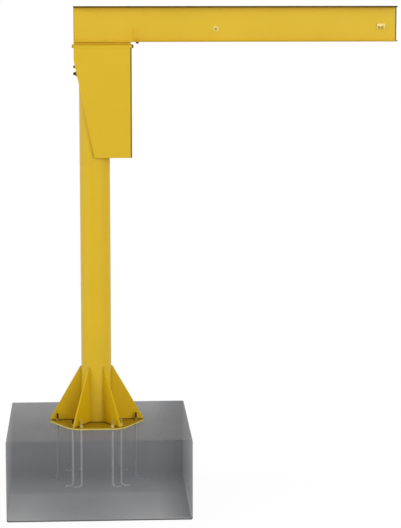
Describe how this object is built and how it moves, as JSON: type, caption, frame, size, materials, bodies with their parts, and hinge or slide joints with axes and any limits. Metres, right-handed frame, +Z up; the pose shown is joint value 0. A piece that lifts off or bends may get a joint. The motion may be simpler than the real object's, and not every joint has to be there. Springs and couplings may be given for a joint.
{
  "type": "freestanding jib crane on a foundation block",
  "caption": "Pillar-mounted full-cantilever jib crane: I-beam boom on a slewing head, gusseted base plate and hooked anchor bolts in a see-through foundation block.",
  "frame": {"origin": "on the mast's axis, which is the slewing axis, at the foundation block's underside", "axes": "+Z up along the mast, +X along the boom at rest, towards its tip"},
  "size_m": [4.587, 2.14, 5.857],
  "materials": {
    "yellow_paint": "satin",
    "zinc_steel": "satin",
    "dark_steel": "satin",
    "bearing_bronze": "satin",
    "foundation": "matte"
  },
  "bodies": {
    "column": {"foundation_block": "foundation", "anchor_pair_1": "zinc_steel", "anchor_pair_2": "zinc_steel", "anchor_pair_3": "zinc_steel", "anchor_pair_4": "zinc_steel", "anchor_pair_5": "zinc_steel", "anchor_pair_6": "zinc_steel", "anchor_washers": "zinc_steel", "anchor_nuts": "zinc_steel", "base_plate": "yellow_paint", "gusset_1": "yellow_paint", "gusset_2": "yellow_paint", "gusset_3": "yellow_paint", "gusset_4": "yellow_paint", "gusset_5": "yellow_paint", "gusset_6": "yellow_paint", "mast": "yellow_paint", "mast_cap": "yellow_paint", "pivot_pin": "zinc_steel", "thrust_washer": "bearing_bronze"},
    "jib": {"bearing_housing": "yellow_paint", "boom_bolts": "dark_steel", "boom_bottom_flange": "yellow_paint", "boom_nuts": "dark_steel", "boom_saddle": "yellow_paint", "boom_top_flange": "yellow_paint", "boom_web": "yellow_paint", "end_stops": "zinc_steel", "head_saddle": "yellow_paint", "head_shell": "yellow_paint", "head_top_plate": "yellow_paint", "inner_stop_bolts": "yellow_paint", "inner_stop_nuts": "dark_steel", "inner_stops": "yellow_paint", "rear_tie_bar": "yellow_paint", "rear_tie_bolts": "dark_steel", "rear_tie_lugs": "yellow_paint", "rear_tie_nuts": "dark_steel", "roller_axles": "zinc_steel", "roller_bracket_lower": "yellow_paint", "roller_bracket_upper": "yellow_paint", "rollers": "zinc_steel", "web_bolts": "dark_steel", "web_nuts": "dark_steel", "web_washers": "zinc_steel"}
  },
  "joints": [
    {"name": "slew", "type": "hinge", "parent": "column", "child": "jib", "pos_m": [0, 0, 5.3], "axis": [0, 0, 1], "continuous": true}
  ]
}
